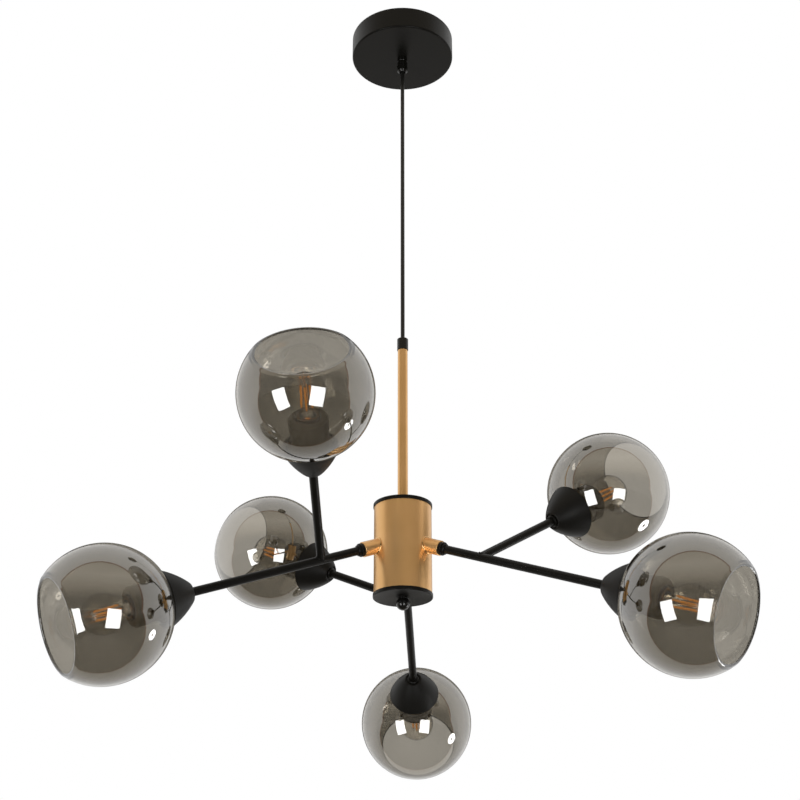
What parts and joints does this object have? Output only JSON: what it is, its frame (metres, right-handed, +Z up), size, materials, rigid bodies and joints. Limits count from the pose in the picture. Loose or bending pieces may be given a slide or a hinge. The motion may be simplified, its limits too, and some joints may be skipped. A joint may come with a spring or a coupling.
{
  "type": "branch chandelier",
  "caption": "Ceiling chandelier with smoked glass globe lamps on forked black arms round a brushed gold hub, hung by a rod and a cable from a round canopy.",
  "frame": {"origin": "middle of the canopy's rim, in the plane of the ceiling", "axes": "+Z up into the ceiling; -Y towards the side that the picture shows; +X to that view's right"},
  "size_m": [0.7591, 0.726, 0.9604],
  "materials": {
    "zinc_steel": "zinc plated",
    "black_powder_coat": "satin powder coat",
    "cup_black": "matte paint",
    "brushed_gold": "fine brushed, satin lacquer",
    "cable_sheath": "smooth round sheath",
    "connector_plastic": "moulded",
    "black_plastic": "moulded, satin",
    "smoked_glass": "smoke tinted, mirror-like",
    "bulb_glass": "clear, thin",
    "bulb_cap": "plated"
  },
  "bodies": {
    "ceiling_rose": {"ceiling_bracket": "zinc_steel", "canopy": "black_powder_coat", "canopy_nipple": "zinc_steel", "nipple_nuts": "zinc_steel", "terminal_block": "connector_plastic", "cord_grip": "black_powder_coat", "grip_screw": "zinc_steel", "cable_tail": "cable_sheath"},
    "cable": {"cable": "cable_sheath"},
    "ferrule": {"ferrule": "black_powder_coat"},
    "fixture": {"down_rod": "brushed_gold", "coupler_nut": "zinc_steel", "tie_rod": "zinc_steel", "hub_shell": "brushed_gold", "hub_top_cap": "black_powder_coat", "hub_bottom_cap": "black_powder_coat", "finial": "black_powder_coat", "wire_connector": "connector_plastic"},
    "arm_a": {"arm_a": "black_powder_coat", "lock_collar_a": "black_powder_coat", "cup_nuts_a": "black_powder_coat", "shade_rings_a": "black_plastic", "cup_a_main": "cup_black", "lampholder_a_main": "black_plastic", "globe_a_main": "smoked_glass", "cup_a_branch": "cup_black", "lampholder_a_branch": "black_plastic", "globe_a_branch": "smoked_glass"},
    "bulb_a_main": {"bulb_glass_a_main": "bulb_glass", "bulb_base_a_main": "bulb_cap"},
    "bulb_a_branch": {"bulb_glass_a_branch": "bulb_glass", "bulb_base_a_branch": "bulb_cap"},
    "arm_b": {"arm_b": "black_powder_coat", "lock_collar_b": "black_powder_coat", "cup_nuts_b": "black_powder_coat", "shade_rings_b": "black_plastic", "cup_b_main": "cup_black", "lampholder_b_main": "black_plastic", "globe_b_main": "smoked_glass", "cup_b_branch": "cup_black", "lampholder_b_branch": "black_plastic", "globe_b_branch": "smoked_glass"},
    "bulb_b_main": {"bulb_glass_b_main": "bulb_glass", "bulb_base_b_main": "bulb_cap"},
    "bulb_b_branch": {"bulb_glass_b_branch": "bulb_glass", "bulb_base_b_branch": "bulb_cap"},
    "arm_c": {"arm_c": "black_powder_coat", "lock_collar_c": "black_powder_coat", "cup_nuts_c": "black_powder_coat", "shade_rings_c": "black_plastic", "cup_c_main": "cup_black", "lampholder_c_main": "black_plastic", "globe_c_main": "smoked_glass", "cup_c_branch": "cup_black", "lampholder_c_branch": "black_plastic", "globe_c_branch": "smoked_glass"},
    "bulb_c_main": {"bulb_glass_c_main": "bulb_glass", "bulb_base_c_main": "bulb_cap"},
    "bulb_c_branch": {"bulb_glass_c_branch": "bulb_glass", "bulb_base_c_branch": "bulb_cap"}
  },
  "joints": [
    {"name": "cable_swing", "type": "hinge", "parent": "ceiling_rose", "child": "cable", "pos_m": [0, 0, -0.052], "axis": [0, 1, 0], "range_deg": [-10, 10]},
    {"name": "ferrule_swing", "type": "hinge", "parent": "cable", "child": "ferrule", "pos_m": [0, 0, -0.48], "axis": [1, 0, 0], "range_deg": [-10, 10]},
    {"name": "fixture_turn", "type": "hinge", "parent": "ferrule", "child": "fixture", "pos_m": [0, 0, -0.492], "axis": [0, 0, 1], "range_deg": [-180, 180]},
    {"name": "arm_a_swivel", "type": "hinge", "parent": "fixture", "child": "arm_a", "pos_m": [0, 0, -0.7455], "axis": [-0.8284, -0.4221, -0.3681], "range_deg": [-45, 45]},
    {"name": "bulb_a_main_unscrew", "type": "hinge", "parent": "arm_a", "child": "bulb_a_main", "pos_m": [-0.31481, -0.1604, -0.88539], "axis": [-0.8284, -0.4221, -0.3681], "range_deg": [0, 360]},
    {"name": "bulb_a_branch_unscrew", "type": "hinge", "parent": "arm_a", "child": "bulb_a_branch", "pos_m": [-0.10397, -0.23085, -0.66192], "axis": [-0.0448, -0.8241, 0.5647], "range_deg": [0, 360]},
    {"name": "arm_b_swivel", "type": "hinge", "parent": "fixture", "child": "arm_b", "pos_m": [0, 0, -0.7455], "axis": [0.7798, -0.5064, -0.3681], "range_deg": [-45, 45]},
    {"name": "bulb_b_main_unscrew", "type": "hinge", "parent": "arm_b", "child": "bulb_b_main", "pos_m": [0.29631, -0.19243, -0.88539], "axis": [0.7798, -0.5064, -0.3681], "range_deg": [0, 360]},
    {"name": "bulb_b_branch_unscrew", "type": "hinge", "parent": "arm_b", "child": "bulb_b_branch", "pos_m": [0.25385, 0.03588, -0.67226], "axis": [0.7448, 0.4205, 0.5181], "range_deg": [0, 360]},
    {"name": "arm_c_swivel", "type": "hinge", "parent": "fixture", "child": "arm_c", "pos_m": [0, 0, -0.7455], "axis": [0.0487, 0.9285, -0.3681], "range_deg": [-45, 45]},
    {"name": "bulb_c_main_unscrew", "type": "hinge", "parent": "arm_c", "child": "bulb_c_main", "pos_m": [0.01849, 0.35283, -0.88539], "axis": [0.0487, 0.9285, -0.3681], "range_deg": [0, 360]},
    {"name": "bulb_c_branch_unscrew", "type": "hinge", "parent": "arm_c", "child": "bulb_c_branch", "pos_m": [-0.17516, 0.19426, -0.6938], "axis": [-0.8139, 0.4003, 0.4211], "range_deg": [0, 360]}
  ]
}
